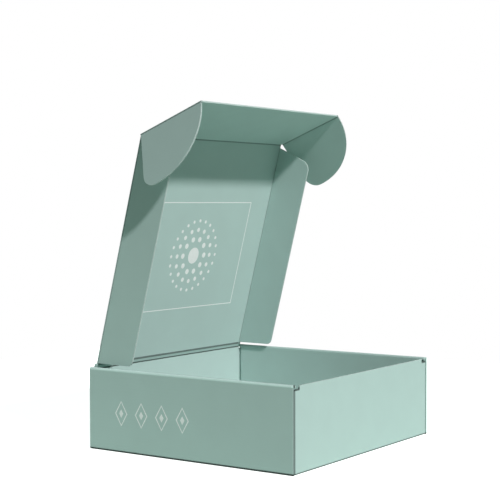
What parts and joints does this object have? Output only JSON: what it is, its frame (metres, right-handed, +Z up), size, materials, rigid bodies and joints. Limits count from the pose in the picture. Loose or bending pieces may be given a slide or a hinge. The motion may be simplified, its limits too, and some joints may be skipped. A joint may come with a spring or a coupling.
{
  "type": "corrugated mailer box",
  "caption": "Folded corrugated mailer box with roll-over side walls and a hinged lid standing open, with side wings and an eared front tuck flap.",
  "frame": {"origin": "middle of the base's underside", "axes": "+Z up, front wall towards -Y, lid hinged along the back wall towards +Y, side walls at -X and +X"},
  "size_m": [0.2876, 0.23, 0.3255],
  "materials": {
    "board": "matte printed board, sage green on both faces"
  },
  "bodies": {
    "box_tray": {"tray": "board"},
    "lid": {"lid_panel": "board"},
    "lid_wing_left": {"left_wing": "board"},
    "lid_wing_right": {"right_wing": "board"},
    "tuck": {"tuck_flap": "board"},
    "tuck_ear_left": {"left_ear": "board"},
    "tuck_ear_right": {"right_ear": "board"}
  },
  "joints": [
    {"name": "lid_hinge", "type": "hinge", "parent": "box_tray", "child": "lid", "pos_m": [0, 0.11205, 0.0803], "axis": [-1, 0, 0], "range_deg": [-68, 96]},
    {"name": "left_wing_crease", "type": "hinge", "parent": "lid", "child": "lid_wing_left", "pos_m": [-0.11695, 0.11205, 0.0803], "axis": [0, 0.2504, -0.9681], "range_deg": [-18, 16]},
    {"name": "right_wing_crease", "type": "hinge", "parent": "lid", "child": "lid_wing_right", "pos_m": [0.11695, 0.11205, 0.0803], "axis": [0, -0.2504, 0.9681], "range_deg": [-18, 26]},
    {"name": "tuck_crease", "type": "hinge", "parent": "lid", "child": "tuck", "pos_m": [0, 0.05602, 0.29697], "axis": [-1, 0, 0], "range_deg": [-46, 54]},
    {"name": "left_ear_crease", "type": "hinge", "parent": "tuck", "child": "tuck_ear_left", "pos_m": [-0.11885, 0.05602, 0.29697], "axis": [0, 0.9304, -0.3665], "range_deg": [-20, 70]},
    {"name": "right_ear_crease", "type": "hinge", "parent": "tuck", "child": "tuck_ear_right", "pos_m": [0.11885, 0.05602, 0.29697], "axis": [0, -0.9304, 0.3665], "range_deg": [-29, 61]}
  ]
}
